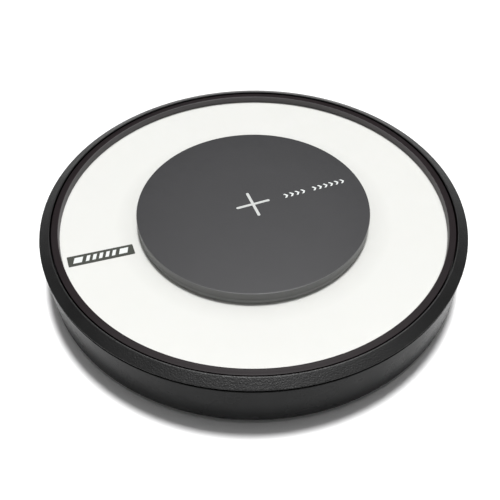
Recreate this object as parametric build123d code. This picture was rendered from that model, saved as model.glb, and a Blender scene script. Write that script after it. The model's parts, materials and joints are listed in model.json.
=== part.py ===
from build123d import *
from math import cos, radians, sin, tan
import os

# Wireless charging pad, in millimetres.
# The origin is the centre of the circle that the pad stands on, and Z is up.
# X runs along the reading direction of the printed marks, and the power inlet is at +Y.

# ---------------------------------------------------------------- driving dimensions
RIM_R = 110.0 / 2           # outer edge of the rim
HEIGHT = 15.0               # table to the crest of the rim
PAD_R = 61.0 / 2            # raised centre pad
SKIN = 2.0                  # wall and floor of the casing
FOOT_DROP = 0.6             # how far the rubber foot stands below the casing
RIM_GROOVE = 0.35           # shadow line between the two tiers of the rim

# ---------------------------------------------------------------- rim and recess
RIM_EDGE_Z = HEIGHT - 1.0                   # the outer tier slopes up from this edge
CREST_R = RIM_R - 2.7                       # inner edge of the outer tier
CREST_LAND = 0.3                            # flat width at the top of the slope
BEZEL_R = CREST_R - RIM_GROOVE              # outer edge of the inner tier
BEZEL_Z = HEIGHT - 0.25                     # the inner tier lies a little lower
BEZEL_INNER_R = RIM_R - 4.8                 # wall of the recess
PLATE_RIM_Z = HEIGHT - 2.2                  # the white plate where it meets the bezel
PLATE_PAD_Z = PLATE_RIM_Z - 1.5             # and where it meets the centre pad: it is dished
PLATE_T = 1.5
PLATE_R = BEZEL_INNER_R + 1.5
PLATE_HOLE_R = PAD_R - 1.9
DISH_SLOPE = (PLATE_RIM_Z - PLATE_PAD_Z) / (BEZEL_INNER_R - PAD_R)

# ---------------------------------------------------------------- centre pad
PAD_Z = HEIGHT - 0.3
PAD_T = 1.5
PAD_CEILING_Z = PAD_Z - PAD_T
PAD_SPIGOT_R = PLATE_HOLE_R - 0.2
PAD_INNER_R = PAD_SPIGOT_R - 1.4
INLAY_DEPTH = 0.3
PLUS_SPAN = 9.3
PLUS_WIDTH = 0.76

# ---------------------------------------------------------------- casing
WALL_R = RIM_R - 0.1
WALL_INNER_R = WALL_R - SKIN
CASE_Z = FOOT_DROP
FLOOR_Z = CASE_Z + SKIN
WALL_TOP_Z = RIM_EDGE_Z - 1.0
JOINT_GAP = 0.8                             # shadow line between casing and rim
BELLY_ROUND = 1.2                           # the side turns under at the bottom
FLANGE_INNER_R = 43.8                       # shelf of the top frame, under the plate
FLANGE_Z = 9.6
CASE_SCREW_R = 47.0
CASE_SCREW_ANGLES = (45, 135, 225, 315)
CASE_POST_Z = 5.6                           # where the frame's posts meet the casing's

# ---------------------------------------------------------------- foot and label below
FOOT_R = 50.0
FOOT_INNER_R = 44.0
FOOT_GROOVE = 0.6
FOOT_PLAY = 0.1

# ---------------------------------------------------------------- coil stack
WIRE_R = 0.54
LEAD_R = 0.45
COIL_TURNS = 10
COIL_PITCH = 2 * WIRE_R + 0.05
COIL_START_R = 10.25
TAPE_T = 0.2
COIL_Z = PAD_CEILING_Z - TAPE_T - WIRE_R
FERRITE_R = 24.6
FERRITE_T = 1.0
FERRITE_TOP_Z = COIL_Z - WIRE_R - 0.05
CARRIER_R = 26.4
CARRIER_T = 1.2
CARRIER_TOP_Z = FERRITE_TOP_Z - FERRITE_T - 0.05
CARRIER_Z = CARRIER_TOP_Z - CARRIER_T
CARRIER_POSTS = [(24 * cos(radians(a)), 24 * sin(radians(a))) for a in (30, 150, 270)]
OUTER_LEAD_X = -9.0
OUTER_LEAD_Y = 24.2

# ---------------------------------------------------------------- boards
BOARD_Z = FLOOR_Z + 1.2
BOARD_T = 1.2
BOARD_TOP_Z = BOARD_Z + BOARD_T
BOARD_HALF = 17.0
BOARD_FRONT_Y = 2.0
BOARD_R = 52.0
BOARD_POSTS = [(-13.5, 7.0), (13.5, 7.0), (-12.0, 44.0), (12.0, 44.0)]
TRAY_Z = 7.0
TRAY_WALL = 0.8
TRAY_INNER_R = 28.9
TRAY_R = FLANGE_INNER_R - 0.2
TRAY_POST_ANGLES = (0, 180, 240, 300)
LED_BOARD_INNER_R = 32.0
LED_BOARD_R = 38.0
LED_BOARD_T = 0.8
LED_COUNT = 8
LINK_Y = 35.0
LINK_PITCH = 2.54

# ---------------------------------------------------------------- power inlet, micro-USB size
USB_W = 7.5
USB_H = 2.5
USB_DEPTH = 5.6
USB_SKIN = 0.3
USB_MOUTH_Y = WALL_R - 0.8
USB_Z = BOARD_TOP_Z + USB_H / 2
CONTACT_COUNT = 5
CONTACT_PITCH = 0.65

# ---------------------------------------------------------------- screws
SHANK_R = 0.85
HEAD_R = 1.8


# ================================================================ shape helpers
def corner_arc(before, here, after, rounding):
    """Start, middle and end of the arc that rounds the corner at here."""
    back = (before - here).normalized()
    ahead = (after - here).normalized()
    half = radians(back.get_angle(ahead)) / 2
    inward = (back + ahead).normalized()
    reach = rounding / tan(half)
    depth = rounding / sin(half) - rounding
    return here + back * reach, here + inward * depth, here + ahead * reach


def joined_edges(corners, closed):
    """Straight runs joined by tangent arcs; each corner is a point and its rounding."""
    edges = []
    pen = None
    count = len(corners)
    for index, (here, rounding) in enumerate(corners):
        start = end = here
        if rounding:
            before = corners[index - 1][0]
            after = corners[(index + 1) % count][0]
            start, middle, end = corner_arc(before, here, after, rounding)
        if pen is not None and (start - pen).length > 1e-6:
            edges.append(Edge.make_line(pen, start))
        if rounding:
            edges.append(Edge.make_three_point_arc(start, middle, end))
        if index == 0:
            first = start
        pen = end
    if closed:
        edges.append(Edge.make_line(pen, first))
    return edges


def lathe(*corners):
    """Solid turned about Z from (radius, height) or (radius, height, rounding) corners."""
    points = [(Vector(c[0], 0, c[1]), c[2] if len(c) > 2 else 0) for c in corners]
    return revolve(Face(Wire(joined_edges(points, closed=True))), Axis.Z)


def ring(inner, outer, low, high):
    return lathe((inner, low), (outer, low), (outer, high), (inner, high))


def post(x, y, radius, low, high):
    return Pos(x, y, (low + high) / 2) * Cylinder(radius, high - low)


def block(x, y, low, width, depth, height):
    """Box centred on x and y, standing on the height low."""
    return Pos(x, y, low + height / 2) * Box(width, depth, height)


def plate(sketch, low, high):
    return extrude(Pos(0, 0, low) * sketch, high - low)


def tube(points, roundings, radius):
    """Round wire along straight runs joined by tangent arcs."""
    roundings = [0, *roundings, 0]
    corners = [(Vector(*p), r) for p, r in zip(points, roundings)]
    path = Wire(joined_edges(corners, closed=False))
    start = Plane(origin=path @ 0, z_dir=path % 0)
    return sweep(start * Circle(radius), path=path)


def around(radius, angles):
    """Places on a circle about Z, with the angle of each."""
    return [(radius * cos(radians(a)), radius * sin(radians(a)), a) for a in angles]


def cross_recess(x, y, face, depth, towards):
    """The cross that a screwdriver fits, cut into a head whose face is at height face."""
    middle = face - towards * depth / 2
    bar = Box(1.9, 0.45, depth)
    return Pos(x, y, middle) * (bar + Rot(0, 0, 90) * bar)


def write(node, shape):
    export_step(shape, f"parts/{node}.step")


def write_group(node, shapes):
    export_step(Compound(children=[s for shape in shapes for s in shape.solids()]), f"parts/{node}.step")


# ================================================================ outer shells
def base_shell():
    """Lower casing: floor, wall, rounded belly, posts, foot groove and inlet opening."""
    rebate_r = WALL_INNER_R + 0.9
    rebate_z = WALL_TOP_Z - 1.2
    shell = lathe(
        (0, CASE_Z),
        (WALL_R, CASE_Z, BELLY_ROUND),
        (WALL_R, WALL_TOP_Z, 0.2),
        (rebate_r, WALL_TOP_Z),
        (rebate_r, rebate_z),
        (WALL_INNER_R, rebate_z),
        (WALL_INNER_R, FLOOR_Z, 1.2),
        (0, FLOOR_Z),
    )
    shell -= ring(FOOT_INNER_R - FOOT_PLAY, FOOT_R + FOOT_PLAY, CASE_Z, CASE_Z + FOOT_GROOVE)
    for x, y, _ in around(CASE_SCREW_R, CASE_SCREW_ANGLES):
        shell += post(x, y, 2.8, FLOOR_Z, CASE_POST_Z)
        shell -= post(x, y, HEAD_R + 0.3, CASE_Z, FLOOR_Z + 0.2)
        shell -= post(x, y, SHANK_R + 0.25, FLOOR_Z, CASE_POST_Z)
    for x, y in CARRIER_POSTS:
        shell += post(x, y, 3.0, FLOOR_Z, CARRIER_Z)
        shell -= post(x, y, SHANK_R, CARRIER_Z - 4.2, CARRIER_Z)
    for x, y in BOARD_POSTS:
        shell += post(x, y, 2.4, FLOOR_Z, BOARD_Z)
        shell -= post(x, y, SHANK_R, CASE_Z + 0.8, BOARD_Z)
    for x, y, _ in around((TRAY_INNER_R + TRAY_R) / 2 + 4, TRAY_POST_ANGLES):
        shell += post(x, y, 1.5, FLOOR_Z, TRAY_Z)
    opening = RectangleRounded(USB_W + 1.1, USB_H + 1.1, 0.8)
    recess = RectangleRounded(USB_W + 3.6, USB_H + 3.1, 1.4)
    facing_rear = Plane(origin=(0, WALL_INNER_R - 1, USB_Z), x_dir=(-1, 0, 0), z_dir=(0, 1, 0))
    shell -= extrude(facing_rear * opening, SKIN + 3)
    shell -= extrude(facing_rear.offset(SKIN + 0.4) * recess, 3)
    return shell


def top_frame():
    """Rim with the sloping outer tier, a lip inside the casing and the shelf for the plate."""
    lip_r = WALL_INNER_R + 0.8
    inner_lip_r = WALL_INNER_R - 0.1
    lip_z = WALL_TOP_Z - 1.1
    underside_z = WALL_TOP_Z + JOINT_GAP
    shelf_rim_z = PLATE_RIM_Z - PLATE_T
    shelf_inner_z = shelf_rim_z - DISH_SLOPE * (PLATE_R - FLANGE_INNER_R)
    frame = lathe(
        (RIM_R, underside_z, 0.05),
        (RIM_R, RIM_EDGE_Z, 0.1),
        (CREST_R + CREST_LAND, HEIGHT, 0.15),
        (CREST_R, HEIGHT, 0.08),
        (CREST_R, shelf_rim_z),
        (PLATE_R, shelf_rim_z),
        (FLANGE_INNER_R, shelf_inner_z),
        (FLANGE_INNER_R, FLANGE_Z),
        (inner_lip_r, FLANGE_Z),
        (inner_lip_r, lip_z),
        (lip_r, lip_z),
        (lip_r, underside_z),
    )
    for x, y, _ in around(CASE_SCREW_R, CASE_SCREW_ANGLES):
        frame += post(x, y, 2.6, CASE_POST_Z, FLANGE_Z)
        frame -= post(x, y, SHANK_R, CASE_POST_Z, CASE_POST_Z + 3.4)
    return frame


def bezel_ring():
    """Inner tier that clamps the edge of the light plate."""
    return lathe(
        (BEZEL_INNER_R, PLATE_RIM_Z),
        (BEZEL_R, PLATE_RIM_Z),
        (BEZEL_R, BEZEL_Z, 0.12),
        (BEZEL_INNER_R, BEZEL_Z, 0.2),
    )


def light_plate():
    """White translucent plate, dished towards the centre pad."""
    hole_z = PLATE_RIM_Z - PLATE_T - DISH_SLOPE * (PLATE_R - PLATE_HOLE_R)
    return lathe(
        (PLATE_HOLE_R, PLATE_PAD_Z),
        (PAD_R, PLATE_PAD_Z),
        (BEZEL_INNER_R, PLATE_RIM_Z),
        (PLATE_R, PLATE_RIM_Z),
        (PLATE_R, PLATE_RIM_Z - PLATE_T),
        (PLATE_HOLE_R, hole_z),
    )


def centre_pad_blank():
    """Cap over the coil: flat top, skirt on the plate and spigot through it."""
    return lathe(
        (0, PAD_Z),
        (PAD_R, PAD_Z, 0.28),
        (PAD_R - 0.15, PLATE_PAD_Z),
        (PAD_SPIGOT_R, PLATE_PAD_Z),
        (PAD_SPIGOT_R, PLATE_PAD_Z - 1.4),
        (PAD_INNER_R, PLATE_PAD_Z - 1.4),
        (PAD_INNER_R, PAD_CEILING_Z, 0.5),
        (0, PAD_CEILING_Z),
    )


# ================================================================ printed and inlaid marks
def plus_outline():
    arm = RectangleRounded(PLUS_SPAN, PLUS_WIDTH, 0.36)
    return arm + Rot(0, 0, 90) * arm


def chevron_outline():
    """Arrowhead that points along the row, about the origin."""
    half_height = 0.76
    depth = 0.62
    stroke = 0.56
    tip_side = [(-depth / 2, half_height), (depth / 2, 0), (-depth / 2, -half_height)]
    tail_side = [(x - stroke, y) for x, y in reversed(tip_side)]
    return Pos(stroke / 2, 0) * make_face(Polyline(*tip_side, *tail_side, close=True))


def charge_row():
    """Two runs of arrowheads, in line with the plus, for fast charging."""
    first_x = 9.4
    pitch = 1.647
    places = (0, 1, 2, 3, 5, 6, 7, 8, 9, 10)
    return [Pos(first_x + pitch * k, 0) * chevron_outline() for k in places]


LABEL_AT = Pos(-40.9, -1.5)


def name_label_outline():
    return LABEL_AT * RectangleRounded(16.3, 3.4, 0.2)


def slanted_cell(width):
    """Upright cell of a level display, leaning along the row."""
    lean = 0.32
    half_height = 0.9
    low = [(x - lean, -half_height) for x in (-width / 2, width / 2)]
    high = [(x + lean, half_height) for x in (width / 2, -width / 2)]
    return make_face(Polyline(*low, *high, close=True))


def name_label_row():
    """A level display in place of a name: narrow cells between two wide ones."""
    wide = [Pos(side * 5.6, 0) * slanted_cell(2.1) for side in (-1, 1)]
    narrow = [Pos(1.6 * k, 0) * slanted_cell(0.85) for k in (-2, -1, 0, 1, 2)]
    return [LABEL_AT * mark for mark in (*wide, *narrow)]


def on_dish(sketch, low, high):
    """The part of an upright prism that lies between two heights above the dished plate."""
    near = PLATE_PAD_Z
    far = PLATE_RIM_Z
    layer = lathe(
        (PAD_R, near + low),
        (BEZEL_INNER_R, far + low),
        (BEZEL_INNER_R, far + high),
        (PAD_R, near + high),
    )
    return plate(sketch, near - 1, far + 1) & layer


# ================================================================ below the casing
def foot_ring():
    return lathe(
        (FOOT_INNER_R, 0, 0.3),
        (FOOT_R, 0, 0.3),
        (FOOT_R, CASE_Z + FOOT_GROOVE),
        (FOOT_INNER_R, CASE_Z + FOOT_GROOVE),
    )


def rating_label():
    return plate(RectangleRounded(34, 20, 1.5), CASE_Z - 0.1, CASE_Z)


# ================================================================ coil stack
def transmitter_coil():
    """Flat spiral of half turns, each half a circle wider by half the pitch."""
    edges = []
    for half in range(2 * COIL_TURNS):
        radius = COIL_START_R + half * COIL_PITCH / 2
        centre = (half % 2) * COIL_PITCH / 2
        side = 1 if half % 2 == 0 else -1
        start = (centre + side * radius, 0, COIL_Z)
        middle = (centre, side * radius, COIL_Z)
        end = (centre - side * radius, 0, COIL_Z)
        edges.append(Edge.make_three_point_arc(start, middle, end))
    path = Wire(edges)
    section = Plane(origin=path @ 0, z_dir=path % 0) * Circle(WIRE_R)
    return Rot(0, 0, 90) * sweep(section, path=path)


def coil_leads():
    """The inner end drops straight to the board, the outer end goes round the ferrite."""
    outer_r = COIL_START_R + COIL_TURNS * COIL_PITCH
    inner = tube(
        [(0, COIL_START_R, COIL_Z), (1.35, COIL_START_R, COIL_Z), (1.35, COIL_START_R, BOARD_TOP_Z)],
        [1.0],
        LEAD_R,
    )
    outer = tube(
        [
            (0, outer_r, COIL_Z),
            (-5, outer_r, COIL_Z),
            (OUTER_LEAD_X, OUTER_LEAD_Y, COIL_Z),
            (OUTER_LEAD_X, OUTER_LEAD_Y, BOARD_TOP_Z),
        ],
        [3.0, 1.4],
        LEAD_R,
    )
    return [inner, outer]


def coil_tape():
    return ring(8, 22.5, PAD_CEILING_Z - TAPE_T, PAD_CEILING_Z)


def lead_holes(low, high):
    """Ways down for the coil's inner end and the thermistor's legs."""
    inner = post(1.35, COIL_START_R, 1.0, low, high)
    return inner + post(0, 5.0, 1.6, low, high)


def ferrite_shield():
    disc = post(0, 0, FERRITE_R, FERRITE_TOP_Z - FERRITE_T, FERRITE_TOP_Z)
    return disc - lead_holes(FERRITE_TOP_Z - FERRITE_T, FERRITE_TOP_Z)


def coil_carrier():
    """Shallow tray for the ferrite, screwed down on three posts."""
    rim_z = CARRIER_TOP_Z + FERRITE_T
    carrier = lathe(
        (0, CARRIER_Z),
        (CARRIER_R, CARRIER_Z),
        (CARRIER_R, rim_z),
        (FERRITE_R + 0.3, rim_z),
        (FERRITE_R + 0.3, CARRIER_TOP_Z),
        (0, CARRIER_TOP_Z),
    )
    carrier -= lead_holes(CARRIER_Z, CARRIER_TOP_Z)
    carrier -= block(OUTER_LEAD_X, OUTER_LEAD_Y + 0.6, CARRIER_Z, 1.6, 3.0, rim_z - CARRIER_Z)
    for x, y in CARRIER_POSTS:
        carrier -= countersunk(x, y, CARRIER_TOP_Z, CARRIER_Z - 1, 0.1)
    return carrier


def countersunk(x, y, face, tip, play):
    """Flat-headed screw form with its face at height face and its tip at height tip."""
    head = HEAD_R + play
    shank = SHANK_R + play
    neck = face - (head - shank)
    return Pos(x, y, 0) * lathe((0, face), (head, face), (shank, neck), (shank, tip), (0, tip))


def carrier_screws():
    face = CARRIER_TOP_Z
    return [
        countersunk(x, y, face, CARRIER_Z - 4, 0) - cross_recess(x, y, face, 0.5, 1)
        for x, y in CARRIER_POSTS
    ]


def thermistor():
    """Bead in the middle of the coil, on two legs down to the board."""
    bead_z = FERRITE_TOP_Z + 0.6
    bead = Pos(0, 5.0, bead_z) * Sphere(0.9)
    bead = bead & block(0, 5.0, bead_z - 0.55, 4, 4, 1.1)
    for side in (-1, 1):
        bead += post(side * 0.5, 5.0, 0.2, BOARD_TOP_Z, bead_z)
    return bead


# ================================================================ light ring
def light_reflector():
    """White tray under the light plate that carries the lamp board."""
    floor_z = TRAY_Z + TRAY_WALL
    tray = lathe(
        (TRAY_INNER_R, TRAY_Z),
        (TRAY_R, TRAY_Z),
        (TRAY_R, 10.4),
        (TRAY_R - TRAY_WALL, 10.4),
        (TRAY_R - TRAY_WALL, floor_z, 0.6),
        (TRAY_INNER_R + TRAY_WALL, floor_z, 0.6),
        (TRAY_INNER_R + TRAY_WALL, 9.4),
        (TRAY_INNER_R, 9.4),
    )
    return tray - block(0, LINK_Y, TRAY_Z, 8.5, 2.0, TRAY_WALL)


def led_board():
    low = TRAY_Z + TRAY_WALL
    return ring(LED_BOARD_INNER_R, LED_BOARD_R, low, low + LED_BOARD_T)


def leds():
    """Square lamps with a round lens well, evenly spaced on the board."""
    low = TRAY_Z + TRAY_WALL + LED_BOARD_T
    middle_r = (LED_BOARD_INNER_R + LED_BOARD_R) / 2
    lamps = []
    for x, y, angle in around(middle_r, [22.5 + 360 * k / LED_COUNT for k in range(LED_COUNT)]):
        body = block(0, 0, low, 3.0, 2.8, 0.7) - post(0, 0, 1.1, low + 0.5, low + 0.7)
        lamps.append(Pos(x, y, 0) * Rot(0, 0, angle) * body)
    return lamps


def board_link_pins():
    """Pins that carry power from the main board up to the lamp board."""
    low = BOARD_TOP_Z
    height = TRAY_Z + TRAY_WALL - low
    return [block(k * LINK_PITCH, LINK_Y, low, 0.6, 0.6, height) for k in (-1, 0, 1)]


# ================================================================ main board
def main_board():
    blank = Rectangle(2 * BOARD_HALF, BOARD_R - BOARD_FRONT_Y, align=(Align.CENTER, Align.MIN))
    outline = (Pos(0, BOARD_FRONT_Y) * blank) & Circle(BOARD_R)
    board = plate(outline, BOARD_Z, BOARD_TOP_Z)
    for x, y in BOARD_POSTS:
        board -= post(x, y, SHANK_R + 0.25, BOARD_Z, BOARD_TOP_Z)
    return board


def pan_screw(x, y, seat, tip, head_height):
    """Domed screw whose head stands on height seat; tip may be above or below it."""
    towards = 1 if tip < seat else -1
    face = seat + towards * head_height
    screw = lathe(
        (0, face),
        (HEAD_R, face, 0.6),
        (HEAD_R, seat),
        (SHANK_R, seat),
        (SHANK_R, tip),
        (0, tip),
    )
    return Pos(x, y, 0) * screw - cross_recess(x, y, face, 0.6, towards)


def board_screws():
    return [pan_screw(x, y, BOARD_TOP_Z, CASE_Z + 1.0, 1.2) for x, y in BOARD_POSTS]


def case_screws():
    seat = FLOOR_Z + 0.2
    tip = CASE_POST_Z + 3.0
    return [pan_screw(x, y, seat, tip, 1.2) for x, y, _ in around(CASE_SCREW_R, CASE_SCREW_ANGLES)]


def chip(x, y, width, depth, height):
    """Moulded package with a pin-one dimple in its corner."""
    body = block(x, y, BOARD_TOP_Z, width, depth, height)
    body = chamfer(body.edges().filter_by(Axis.Z), 0.15)
    top = BOARD_TOP_Z + height
    return body - post(x - width / 2 + 0.7, y + depth / 2 - 0.7, 0.3, top - 0.1, top)


def choke_coil():
    """Moulded power inductor with clipped corners and two end terminals."""
    body = chamfer(block(9, 14, BOARD_TOP_Z, 7, 7, 3.8).edges().filter_by(Axis.Z), 1.0)
    return fillet(body.faces().sort_by(Axis.Z)[-1].edges(), 0.4)


def two_ended(x, y, width, depth, height):
    """Small ceramic part whose end caps stand a little proud of its body."""
    cap = width * 0.22
    body = block(x, y, BOARD_TOP_Z + 0.03, width - 2 * cap, depth - 0.06, height - 0.06)
    for side in (-1, 1):
        body += block(x + side * (width - cap) / 2, y, BOARD_TOP_Z, cap, depth, height)
    return body


def usb_shell():
    """Metal sleeve of the inlet, with the two lower corners cut as the plug needs."""
    def section(inset):
        half = USB_W / 2 - inset
        top = USB_H / 2 - inset
        corners = [
            (-half, top),
            (half, top),
            (half, -top + 1.0),
            (half - 0.8, -top),
            (-half + 0.8, -top),
            (-half, -top + 1.0),
        ]
        return make_face(Polyline(*corners, close=True))

    facing_rear = Plane(origin=(0, USB_MOUTH_Y, USB_Z), x_dir=(-1, 0, 0), z_dir=(0, 1, 0))
    sleeve = extrude(facing_rear * section(0), -USB_DEPTH)
    return sleeve - extrude(facing_rear * section(USB_SKIN), -USB_DEPTH + USB_SKIN)


def usb_tongue():
    """Plastic tongue in the sleeve, on a block that closes its inner end."""
    back = USB_MOUTH_Y - USB_DEPTH + USB_SKIN
    root = block(0, back + 0.5, USB_Z - 0.3, 5.0, 1.0, 1.0)
    return root + block(0, back + 2.2, USB_Z + 0.1, 5.0, 4.4, 0.5)


def usb_contacts():
    back = USB_MOUTH_Y - USB_DEPTH + USB_SKIN + 1.0
    return [
        block(CONTACT_PITCH * (k - 2), back + 1.6, USB_Z, 0.35, 3.2, 0.1)
        for k in range(CONTACT_COUNT)
    ]


def thermal_pad():
    return block(3, 24, FLOOR_Z, 10, 8, BOARD_Z - FLOOR_Z)


# ================================================================ build every node
def build():
    os.makedirs("parts", exist_ok=True)

    plus = plate(plus_outline(), PAD_Z - INLAY_DEPTH, PAD_Z + 0.02)
    charge_marks = [plate(mark, PAD_Z - INLAY_DEPTH, PAD_Z + 0.02) for mark in charge_row()]
    pad = centre_pad_blank() - plus
    for mark in charge_marks:
        pad -= mark

    label = on_dish(name_label_outline(), 0, 0.12)
    label_marks = [on_dish(mark, 0.06, 0.14) for mark in name_label_row()]
    for mark in label_marks:
        label -= mark

    write("base_shell", base_shell())
    write("top_frame", top_frame())
    write("bezel_ring", bezel_ring())
    write("light_plate", light_plate())
    write("centre_pad", pad)
    write("plus_mark", plus)
    write_group("charge_level_marks", charge_marks)
    write("name_label", label)
    write_group("name_label_marks", label_marks)
    write("foot_ring", foot_ring())
    write("rating_label", rating_label())

    write("transmitter_coil", transmitter_coil())
    write_group("coil_leads", coil_leads())
    write("coil_tape", coil_tape())
    write("ferrite_shield", ferrite_shield())
    write("coil_carrier", coil_carrier())
    write_group("carrier_screws", carrier_screws())
    write("thermistor", thermistor())

    write("light_reflector", light_reflector())
    write("led_board", led_board())
    write_group("leds", leds())
    write_group("board_link_pins", board_link_pins())

    write("main_board", main_board())
    write_group("board_screws", board_screws())
    write_group("case_screws", case_screws())
    write("controller_chip", chip(9.5, 33, 6, 6, 0.9))
    write("driver_chip", chip(-8, 32.5, 4, 4, 0.8))
    write_group("bridge_transistors", [chip(x, y, 3, 3, 0.8) for x in (1, 5) for y in (22, 26)])
    write("choke_coil", choke_coil())
    write_group("resonant_capacitors", [two_ended(-11, 10 + 3.6 * k, 3.2, 2.5, 2.0) for k in range(4)])
    write_group("chip_capacitors", [two_ended(-12 + 3.4 * k, 39, 1.6, 0.8, 0.8) for k in range(8)])
    write_group("chip_resistors", [two_ended(-14 + 2.2 * k, 28.8, 1.6, 0.8, 0.45) for k in range(6)])
    write("thermal_pad", thermal_pad())
    write("usb_shell", usb_shell())
    write("usb_tongue", usb_tongue())
    write_group("usb_contacts", usb_contacts())


build()
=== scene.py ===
import json
import math

import bmesh
import bpy
from mathutils import Matrix, Vector


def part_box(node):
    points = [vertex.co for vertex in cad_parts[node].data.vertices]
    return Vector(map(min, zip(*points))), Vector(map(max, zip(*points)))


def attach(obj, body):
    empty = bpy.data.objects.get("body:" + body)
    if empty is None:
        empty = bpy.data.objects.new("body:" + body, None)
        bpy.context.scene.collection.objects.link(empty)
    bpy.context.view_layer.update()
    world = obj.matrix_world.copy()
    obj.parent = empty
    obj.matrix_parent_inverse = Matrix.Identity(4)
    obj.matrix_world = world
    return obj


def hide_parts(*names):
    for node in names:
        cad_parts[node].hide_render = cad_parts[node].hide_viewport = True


# Looks of the wireless charging pad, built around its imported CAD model. All lengths are in metres,
# angles are in degrees where they are written down, and colours are linear.
MM = 0.001

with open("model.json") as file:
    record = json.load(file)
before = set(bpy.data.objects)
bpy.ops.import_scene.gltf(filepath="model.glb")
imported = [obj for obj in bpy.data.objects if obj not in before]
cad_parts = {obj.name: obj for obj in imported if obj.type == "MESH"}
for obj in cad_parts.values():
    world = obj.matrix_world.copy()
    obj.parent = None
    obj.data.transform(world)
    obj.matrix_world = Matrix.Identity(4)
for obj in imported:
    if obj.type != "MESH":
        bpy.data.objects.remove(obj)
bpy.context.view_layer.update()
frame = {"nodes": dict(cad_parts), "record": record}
NODES = frame["nodes"]
SLOT_OF = {part["node"]: part["material_slot"] for part in frame["record"]["subparts"]}

# Sizes of the model that its boxes don't give.
RIM_WIDTH = 4.8 * MM                    # both tiers of the rim together
RIM_FALL = 1.0 * MM                     # from the rim's crest down to its outer edge
PAD_STEP = 3.4 * MM                     # from the pad's top down to the plate beside it
FOOT_WIDTH = 6.0 * MM

# Sizes that the looks follow, read from the frame.
RIM_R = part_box("top_frame")[1].x
CREST_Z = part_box("top_frame")[1].z
RIM_EDGE_Z = CREST_Z - RIM_FALL
BEZEL_INNER_R = RIM_R - RIM_WIDTH
PAD_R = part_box("centre_pad")[1].x
PAD_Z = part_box("centre_pad")[1].z
SKIRT_Z = PAD_Z - PAD_STEP              # where the pad's side meets the plate

# Where the light comes from, as the camera sees it.
LIGHT_LEAN = 13.2                       # behind the zenith
LIGHT_SIDEWAYS = 2.5                    # to the right

# How bright the room is, and the sines of the elevations between which its walls fade to the ceiling.
WALL_LIGHT = 0.88
CEILING_LIGHT = 0.10
WALL_TOP = 0.08
CEILING_EDGE = 0.30


# ================================================================ materials
class Surface:
    """A Principled material, with helpers for the textures that give it detail."""

    def __init__(self, name, **sockets):
        self.material = bpy.data.materials.new(name)
        self.material.use_nodes = True
        self.nodes = self.material.node_tree.nodes
        self.links = self.material.node_tree.links
        self.shader = self.nodes["Principled BSDF"]
        self.place = self.nodes.new("ShaderNodeTexCoord").outputs["Object"]
        for socket, value in sockets.items():
            self.shader.inputs[socket.replace("_", " ")].default_value = value

    def add(self, kind, sources, **settings):
        """Adds a node, plugs sources (socket: output or constant) in, and returns it."""
        made = self.nodes.new(kind)
        for name, value in settings.items():
            setattr(made, name, value)
        for socket, value in sources.items():
            if isinstance(value, bpy.types.NodeSocket):
                self.links.new(value, made.inputs[socket])
            else:
                made.inputs[socket].default_value = value
        return made

    def noise(self, feature, detail=2.0, stretch=(1, 1, 1)):
        """Noise whose features are about feature metres across, drawn out along an axis by stretch."""
        scaled = self.add("ShaderNodeVectorMath", {0: self.place, 1: stretch}, operation="MULTIPLY")
        made = self.add(
            "ShaderNodeTexNoise",
            {"Vector": scaled.outputs[0], "Scale": 1 / feature, "Detail": detail, "Roughness": 0.6},
        )
        return made.outputs["Fac"]

    def cells(self, feature):
        """Voronoi distance, for a pebbled grain of that feature size."""
        made = self.add("ShaderNodeTexVoronoi", {"Vector": self.place, "Scale": 1 / feature})
        return made.outputs["Distance"]

    def math(self, operation, first, second=0.0):
        return self.add("ShaderNodeMath", {0: first, 1: second}, operation=operation).outputs[0]

    def remap(self, value, low, high, to_low, to_high):
        made = self.add(
            "ShaderNodeMapRange",
            {"Value": value, "From Min": low, "From Max": high, "To Min": to_low, "To Max": to_high},
        )
        return made.outputs["Result"]

    def blend_colours(self, factor, first, second):
        made = self.nodes.new("ShaderNodeMix")
        made.data_type = "RGBA"
        self.links.new(factor, made.inputs["Factor"])
        for socket, value in (("A", first), ("B", second)):
            target = [i for i in made.inputs if i.name == socket and i.type == "RGBA"][0]
            if isinstance(value, bpy.types.NodeSocket):
                self.links.new(value, target)
            else:
                target.default_value = (*value, 1.0)
        return [o for o in made.outputs if o.type == "RGBA"][0]

    def colour(self, output):
        self.links.new(output, self.shader.inputs["Base Color"])

    def roughness(self, output):
        self.links.new(output, self.shader.inputs["Roughness"])

    def bump(self, height, depth, strength=1.0):
        """Relief of that depth in metres, on top of any relief added before."""
        made = self.add("ShaderNodeBump", {"Height": height, "Distance": depth, "Strength": strength})
        target = self.shader.inputs["Normal"]
        if target.is_linked:
            self.links.new(target.links[0].from_socket, made.inputs["Normal"])
        self.links.new(made.outputs["Normal"], target)

    def axis_distance(self):
        """Distance from the Z axis."""
        flat = self.add("ShaderNodeVectorMath", {0: self.place, 1: (1, 1, 0)}, operation="MULTIPLY")
        made = self.add("ShaderNodeVectorMath", {0: flat.outputs[0]}, operation="LENGTH")
        return made.outputs["Value"]

    def height(self):
        return self.add("ShaderNodeSeparateXYZ", {0: self.place}).outputs["Z"]


def grey(value, warmth=0.0):
    return (value * (1 + warmth), value, value * (1 - warmth))


def moulded_black(name, tone, rough, grain, depth, level):
    """Surface of black moulded plastic: spark-eroded grain, faint mottling and handling marks."""
    made = Surface(name, Specular_IOR_Level=level)
    mottle = made.noise(6 * MM, 3.0)
    pebbles = made.noise(grain, 2.0)
    made.colour(made.blend_colours(mottle, grey(tone * 0.75), grey(tone * 1.3, -0.02)))
    handled = made.noise(14 * MM, 4.0)
    made.roughness(made.remap(handled, 0.3, 0.7, rough - 0.04, rough + 0.06))
    made.bump(pebbles, depth)
    return made


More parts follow.
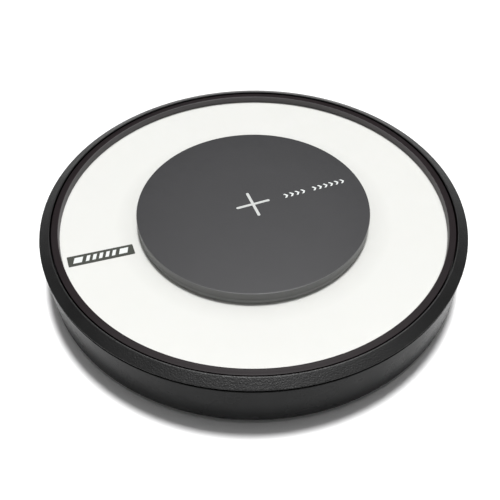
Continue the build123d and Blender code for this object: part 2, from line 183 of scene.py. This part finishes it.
def casing_black():
    """The casing's side has a fine grain, and is dull unless it is seen at a low angle."""
    made = moulded_black(
        "casing_black", tone=0.018, rough=0.26, grain=0.22 * MM, depth=0.005 * MM, level=0.04
    )
    return made.material


def rim_black():
    """The rim's outer tier has a coarser grain that catches the light."""
    made = moulded_black("rim_black", tone=0.006, rough=0.40, grain=0.33 * MM, depth=0.055 * MM, level=0.30)
    made.bump(made.cells(0.28 * MM), 0.016 * MM, 0.6)
    return made.material


def bezel_black():
    """The inner tier has fine turning lines and a slightly warm cast; light from the plate is painted onto
    the wall round it as a much paler colour.
    """
    made = moulded_black("bezel_black", tone=0.004, rough=0.42, grain=0.25 * MM, depth=0.008 * MM, level=0.13)
    top = made.blend_colours(made.noise(5 * MM, 3.0), (0.0075, 0.0050, 0.0058), (0.0120, 0.0075, 0.0088))
    # painted light: the wall round the plate is coloured far paler than the tier's top, standing in for light
    # from the plate
    past_painted_wall_light = made.remap(made.axis_distance(), BEZEL_INNER_R + 0.04 * MM, BEZEL_INNER_R + 0.12 * MM, 0, 1)
    made.colour(made.blend_colours(past_painted_wall_light, (0.125, 0.118, 0.121), top))
    turning = made.math("MULTIPLY", made.axis_distance(), 1 / (0.16 * MM))
    made.bump(made.math("SINE", turning), 0.003 * MM, 0.5)
    return made.material


def plate_white():
    """Opal plate: soft inside, satin outside, with faint flow marks, and painted shade that makes it greyer
    close to the pad.
    """
    made = Surface(
        "plate_white",
        Subsurface_Weight=0.25,
        Subsurface_Radius=(1.0, 1.0, 0.9),
        Subsurface_Scale=1.2 * MM,
        Specular_IOR_Level=0.4,
    )
    flow = made.noise(18 * MM, 2.0)
    clear = made.blend_colours(flow, (0.622, 0.624, 0.602), (0.636, 0.638, 0.616))
    # painted shade from the pad: the plate's colour is greyer within 6 mm of the pad
    beyond_painted_pad_shade = made.remap(made.axis_distance(), PAD_R, PAD_R + 6 * MM, 0, 1)
    made.colour(made.blend_colours(beyond_painted_pad_shade, (0.560, 0.562, 0.542), clear))
    made.roughness(made.remap(made.noise(3 * MM, 3.0), 0.3, 0.7, 0.28, 0.36))
    made.bump(made.noise(0.4 * MM), 0.002 * MM)
    return made.material


def pad_grey():
    """Soft-touch paint on the pad's top, smoother towards its edge; the side is painted much lighter than the
    top, as painted light from the plate, lightest lower down.
    """
    made = Surface("pad_grey", Specular_IOR_Level=0.42, Sheen_Weight=0.02, Sheen_Roughness=0.5)
    mottle = made.noise(9 * MM, 4.0)
    paint = made.blend_colours(mottle, (0.015, 0.015, 0.0165), (0.020, 0.0195, 0.022))
    on_top = made.remap(made.height(), PAD_Z - 0.06 * MM, PAD_Z - 0.01 * MM, 0, 1)
    # painted light on the side: far paler than the top, and paler still near the plate, standing in for light
    # from the plate
    painted_glow_fade = made.remap(made.height(), SKIRT_Z, SKIRT_Z + 1.2 * MM, 0, 1)
    side = made.blend_colours(painted_glow_fade, (0.52, 0.525, 0.52), (0.150, 0.151, 0.150))
    made.colour(made.blend_colours(on_top, side, paint))
    worn = made.remap(made.axis_distance(), 0.5 * PAD_R, PAD_R, 0.5, 0.44)
    speckle = made.remap(made.noise(0.8 * MM, 3.0), 0.3, 0.7, -0.03, 0.03)
    made.roughness(made.math("ADD", worn, speckle))
    made.bump(made.noise(0.16 * MM), 0.006 * MM)
    return made.material


def mark_white():
    """Pad-printed ink with slightly uneven cover, thinner on the plus in the middle."""
    made = Surface("mark_white", Specular_IOR_Level=0.4)
    cover = made.noise(0.35 * MM, 3.0)
    thin = made.blend_colours(cover, (0.42, 0.43, 0.42), (0.52, 0.53, 0.52))
    full = made.blend_colours(cover, (0.56, 0.58, 0.57), (0.68, 0.70, 0.69))
    beyond_plus = made.remap(made.axis_distance(), 6 * MM, 7 * MM, 0, 1)
    made.colour(made.blend_colours(beyond_plus, thin, full))
    made.roughness(made.remap(cover, 0.3, 0.7, 0.42, 0.55))
    made.bump(cover, 0.006 * MM)
    return made.material


def label_grey():
    made = Surface("label_grey", Specular_IOR_Level=0.35)
    cover = made.noise(0.5 * MM, 3.0)
    made.colour(made.blend_colours(cover, (0.026, 0.029, 0.022), (0.040, 0.043, 0.035)))
    made.roughness(made.remap(cover, 0.3, 0.7, 0.38, 0.5))
    made.bump(cover, 0.004 * MM)
    return made.material


def foot_rubber():
    made = Surface("foot_rubber", Specular_IOR_Level=0.3, Sheen_Weight=0.15)
    dust = made.noise(1.6 * MM, 5.0)
    made.colour(made.blend_colours(dust, (0.020, 0.020, 0.021), (0.040, 0.039, 0.038)))
    made.roughness(made.remap(dust, 0.3, 0.7, 0.62, 0.82))
    made.bump(made.cells(0.3 * MM), 0.02 * MM)
    return made.material


def rating_silver():
    """Blank label stock: brushed foil under a matt film."""
    made = Surface("rating_silver", Metallic=0.55)
    brushed = made.noise(0.5 * MM, 3.0, (0.06, 1, 1))
    made.colour(made.blend_colours(brushed, (0.40, 0.40, 0.41), (0.52, 0.52, 0.53)))
    made.roughness(made.remap(brushed, 0.3, 0.7, 0.36, 0.5))
    made.bump(brushed, 0.003 * MM)
    return made.material


def litz_copper():
    """Bundle of enamelled strands, twisted, so fine diagonal grooves cross the wire."""
    made = Surface("litz_copper", Metallic=0.85)
    strands = made.noise(0.16 * MM, 1.0, (1, 1, 0.35))
    made.colour(made.blend_colours(strands, (0.42, 0.16, 0.06), (0.80, 0.42, 0.20)))
    made.roughness(made.remap(strands, 0.3, 0.7, 0.26, 0.42))
    made.bump(strands, 0.05 * MM)
    return made.material


def tape():
    made = Surface("tape", Specular_IOR_Level=0.5, Coat_Weight=0.3)
    weave = made.noise(0.7 * MM, 3.0, (1, 0.1, 1))
    made.colour(made.blend_colours(weave, (0.60, 0.42, 0.10), (0.74, 0.55, 0.18)))
    made.roughness(made.remap(weave, 0.3, 0.7, 0.3, 0.45))
    made.bump(weave, 0.004 * MM)
    return made.material


def ferrite():
    made = Surface("ferrite", Specular_IOR_Level=0.5)
    sinter = made.noise(0.5 * MM, 5.0)
    made.colour(made.blend_colours(sinter, (0.030, 0.031, 0.034), (0.066, 0.066, 0.070)))
    made.roughness(made.remap(sinter, 0.3, 0.7, 0.48, 0.68))
    made.bump(sinter, 0.02 * MM)
    return made.material


def moulded_light(name, low, high):
    made = Surface(name)
    flow = made.noise(5 * MM, 3.0)
    made.colour(made.blend_colours(flow, low, high))
    made.roughness(made.remap(flow, 0.3, 0.7, 0.4, 0.52))
    made.bump(made.noise(0.3 * MM), 0.008 * MM)
    return made.material


def inner_plastic():
    return moulded_light("inner_plastic", (0.040, 0.040, 0.042), (0.060, 0.060, 0.062))


def reflector_white():
    return moulded_light("reflector_white", (0.78, 0.78, 0.76), (0.86, 0.86, 0.84))


def solder_mask(name, mask, track):
    """Circuit board: tracks show as slightly raised, lighter runs under the mask."""
    made = Surface(name, Coat_Weight=0.4, Coat_Roughness=0.15)
    grid = made.add(
        "ShaderNodeTexBrick",
        {"Vector": made.place, "Scale": 1 / (2.4 * MM), "Mortar Size": 0.06, "Bias": 0.2},
    )
    runs = grid.outputs["Fac"]
    weave = made.noise(0.5 * MM, 2.0)
    base = made.blend_colours(weave, tuple(0.85 * c for c in mask), mask)
    made.colour(made.blend_colours(runs, base, track))
    made.roughness(made.remap(weave, 0.3, 0.7, 0.3, 0.42))
    made.bump(runs, 0.03 * MM)
    return made.material


def board_green():
    return solder_mask("board_green", (0.012, 0.11, 0.045), (0.05, 0.26, 0.10))


def board_white():
    return solder_mask("board_white", (0.74, 0.75, 0.72), (0.62, 0.63, 0.56))


def led_resin():
    made = Surface("led_resin", Transmission_Weight=0.2, Coat_Weight=0.5)
    phosphor = made.noise(0.4 * MM, 2.0)
    made.colour(made.blend_colours(phosphor, (0.80, 0.62, 0.16), (0.92, 0.80, 0.36)))
    made.roughness(made.remap(phosphor, 0.3, 0.7, 0.2, 0.35))
    made.bump(phosphor, 0.004 * MM)
    return made.material


def chip_black():
    made = Surface("chip_black")
    resin = made.noise(0.2 * MM, 4.0)
    made.colour(made.blend_colours(resin, (0.014, 0.014, 0.015), (0.034, 0.034, 0.036)))
    made.roughness(made.remap(resin, 0.3, 0.7, 0.5, 0.7))
    made.bump(resin, 0.008 * MM)
    return made.material


def ceramic_part():
    made = Surface("ceramic_part", Coat_Weight=0.2)
    body = made.noise(0.5 * MM, 4.0)
    made.colour(made.blend_colours(body, (0.34, 0.22, 0.12), (0.48, 0.34, 0.20)))
    made.roughness(made.remap(body, 0.3, 0.7, 0.35, 0.5))
    made.bump(body, 0.006 * MM)
    return made.material


def thermal_silicone():
    made = Surface("thermal_silicone", Subsurface_Weight=0.1, Subsurface_Scale=0.5 * MM)
    filler = made.noise(0.3 * MM, 4.0)
    made.colour(made.blend_colours(filler, (0.26, 0.36, 0.48), (0.36, 0.46, 0.56)))
    made.roughness(made.remap(filler, 0.3, 0.7, 0.55, 0.7))
    made.bump(filler, 0.02 * MM)
    return made.material


def metal(name, low, high, rough, stretch):
    made = Surface(name, Metallic=1.0)
    drawn = made.noise(0.4 * MM, 4.0, stretch)
    made.colour(made.blend_colours(drawn, low, high))
    made.roughness(made.remap(drawn, 0.3, 0.7, rough - 0.06, rough + 0.1))
    made.bump(drawn, 0.004 * MM)
    return made.material


def screw_steel():
    return metal("screw_steel", (0.46, 0.46, 0.48), (0.62, 0.62, 0.64), 0.3, (1, 1, 0.2))


def connector_steel():
    return metal("connector_steel", (0.56, 0.56, 0.56), (0.74, 0.73, 0.72), 0.24, (1, 0.1, 1))


def contact_gold():
    return metal("contact_gold", (0.78, 0.55, 0.22), (0.92, 0.70, 0.34), 0.22, (1, 0.2, 1))


MAKERS = [
    casing_black, rim_black, bezel_black, plate_white, pad_grey, mark_white, label_grey,
    foot_rubber, rating_silver, litz_copper, tape, ferrite, inner_plastic, reflector_white,
    board_white, board_green, led_resin, chip_black, ceramic_part, thermal_silicone,
    screw_steel, connector_steel, contact_gold,
]
MATERIALS = {maker.__name__: maker() for maker in MAKERS}


def finish_cad_nodes():
    """Every CAD node gets the detailed material of its slot."""
    for name, obj in NODES.items():
        material = MATERIALS[SLOT_OF[name]]
        for slot in obj.material_slots:
            slot.material = material


# ================================================================ detail pieces
def new_piece(name, form, material):
    """Turns a bmesh into a piece that rides with the body."""
    mesh = bpy.data.meshes.new(name)
    bmesh.ops.recalc_face_normals(form, faces=form.faces)
    form.to_mesh(mesh)
    form.free()
    piece = bpy.data.objects.new(name, mesh)
    bpy.context.scene.collection.objects.link(piece)
    mesh.materials.append(MATERIALS[material])
    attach(piece, "root")
    return piece


def turned(profile, steps):
    """Closed ring, as a bmesh, from a closed profile of (radius, height) points."""
    form = bmesh.new()
    circles = []
    for step in range(steps):
        angle = math.tau * step / steps
        circles.append(
            [form.verts.new((r * math.cos(angle), r * math.sin(angle), z)) for r, z in profile]
        )
    for step in range(steps):
        here = circles[step]
        after = circles[(step + 1) % steps]
        for k in range(len(profile)):
            nxt = (k + 1) % len(profile)
            form.faces.new((here[k], after[k], after[nxt], here[nxt]))
    return form


def ribbed_foot():
    """Rubber foot with fine rounded ribs that grip the table."""
    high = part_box("foot_ring")[1]
    outer = high.x
    inner = outer - FOOT_WIDTH
    ribs = 9
    depth = 0.18 * MM
    edge = 0.25 * MM
    samples = 6 * ribs                  # along the width, six to a rib
    sole = []
    for k in range(samples + 1):
        share = k / samples
        radius = inner + edge + share * (outer - inner - 2 * edge)
        sole.append((radius, depth * (0.5 - 0.5 * math.cos(math.tau * ribs * share))))
    profile = [(inner, high.z), (inner, edge), *sole, (outer, edge), (outer, high.z)]
    piece = new_piece("foot_ring_ribbed", turned(profile, steps=256), "foot_rubber")
    for face in piece.data.polygons:
        face.use_smooth = True
    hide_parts("foot_ring")


def ruled_label():
    """Thin frame and rules on the blank label below, where a maker would print data."""
    low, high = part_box("rating_label")
    face = low.z
    line = 0.25 * MM
    proud = 0.02 * MM
    margin = 1.5 * MM
    spacing = 3.0 * MM
    half_x = high.x - margin
    half_y = high.y - margin
    bars = [(0, side * half_y, 2 * half_x, line) for side in (-1, 1)]
    bars += [(side * half_x, 0, line, 2 * half_y) for side in (-1, 1)]
    bars += [(-half_x / 3, row * spacing, half_x, line) for row in range(-2, 3)]
    form = bmesh.new()
    for x, y, width, depth in bars:
        place = Matrix.LocRotScale(Vector((x, y, face - proud / 2)), None, Vector((width, depth, proud)))
        bmesh.ops.create_cube(form, size=1.0, matrix=place)
    new_piece("rating_label_rules", form, "chip_black")


# ================================================================ stage, light and camera
def make_floor():
    """Pale studio floor, large enough to fill every view."""
    mesh = bpy.data.meshes.new("studio_floor")
    form = bmesh.new()
    bmesh.ops.create_grid(form, x_segments=4, y_segments=4, size=6.0)
    form.to_mesh(mesh)
    form.free()
    floor = bpy.data.objects.new("studio_floor", mesh)
    bpy.context.scene.collection.objects.link(floor)
    paint = Surface("studio_white", Specular_IOR_Level=0.1, Roughness=0.9)
    paint.colour(paint.blend_colours(paint.noise(0.3), (0.90, 0.90, 0.90), (0.91, 0.91, 0.91)))
    mesh.materials.append(paint.material)


VIEW_AZIMUTH = math.radians(-20.5)      # the camera stands a little to the left of the front
TOWARDS_CAMERA = Vector((math.sin(VIEW_AZIMUTH), -math.cos(VIEW_AZIMUTH), 0))
TO_THE_RIGHT = Vector((math.cos(VIEW_AZIMUTH), math.sin(VIEW_AZIMUTH), 0))


def studio(right, towards, up):
    """A place given from the camera's side: to its right, towards it and up."""
    return TO_THE_RIGHT * right + TOWARDS_CAMERA * towards + Vector((0, 0, up))


def sun_lamp(name, energy, angle):
    """Light from high behind the object, a little to the right; a wider angle is softer."""
    data = bpy.data.lights.new(name, "SUN")
    data.energy = energy
    data.angle = math.radians(angle)
    lamp = bpy.data.objects.new(name, data)
    lean = math.radians(LIGHT_LEAN)
    sideways = math.radians(LIGHT_SIDEWAYS)
    place = studio(math.sin(sideways), -math.sin(lean), math.cos(lean))
    lamp.rotation_mode = "QUATERNION"
    lamp.rotation_quaternion = place.to_track_quat("Z", "Y")
    bpy.context.scene.collection.objects.link(lamp)


def make_lights():
    """A key light and the wide glow of its diffuser, in a room with pale walls."""
    sun_lamp("key_light", energy=3.75, angle=9.0)
    sun_lamp("diffuser_glow", energy=0.80, angle=44.0)
    bpy.context.scene.world = studio_air()


def studio_air():
    """Bright walls low down all round, and a dim ceiling."""
    world = bpy.data.worlds.new("studio_air")
    world.use_nodes = True
    nodes = world.node_tree.nodes
    links = world.node_tree.links
    place = nodes.new("ShaderNodeTexCoord")
    split = nodes.new("ShaderNodeSeparateXYZ")
    links.new(place.outputs["Generated"], split.inputs[0])
    fade = nodes.new("ShaderNodeMapRange")
    fade.interpolation_type = "SMOOTHSTEP"
    links.new(split.outputs["Z"], fade.inputs["Value"])
    fade.inputs["From Min"].default_value = WALL_TOP
    fade.inputs["From Max"].default_value = CEILING_EDGE
    fade.inputs["To Min"].default_value = WALL_LIGHT
    fade.inputs["To Max"].default_value = CEILING_LIGHT
    links.new(fade.outputs["Result"], nodes["Background"].inputs["Strength"])
    nodes["Background"].inputs["Color"].default_value = (1, 1, 1, 1)
    return world


def make_camera():
    """Short telephoto view of the whole pad from the front, a little over 40 degrees up."""
    elevation = math.radians(42.767)
    distance = 2.9965 * RIM_R
    pan = math.radians(0.304)
    tilt = math.radians(-4.016)
    roll = math.radians(0.315)
    data = bpy.data.cameras.new("camera")
    data.sensor_width = 36.0
    data.lens = 44.97
    data.clip_start = 0.01
    data.clip_end = 20.0
    camera = bpy.data.objects.new("camera", data)
    bpy.context.scene.collection.objects.link(camera)
    back = TOWARDS_CAMERA * math.cos(elevation) + Vector((0, 0, math.sin(elevation)))
    up = back.cross(TO_THE_RIGHT)
    aim = Matrix((TO_THE_RIGHT, up, back)).transposed()
    turn = Matrix.Rotation(pan, 3, "Y") @ Matrix.Rotation(tilt, 3, "X") @ Matrix.Rotation(-roll, 3, "Z")
    eye = back * distance + Vector((0, 0, RIM_EDGE_Z))
    camera.matrix_world = Matrix.Translation(eye) @ (aim @ turn).to_4x4()
    bpy.context.scene.camera = camera


finish_cad_nodes()
ribbed_foot()
ruled_label()
make_floor()
make_lights()
make_camera()
bpy.context.scene.view_settings.view_transform = "Standard"
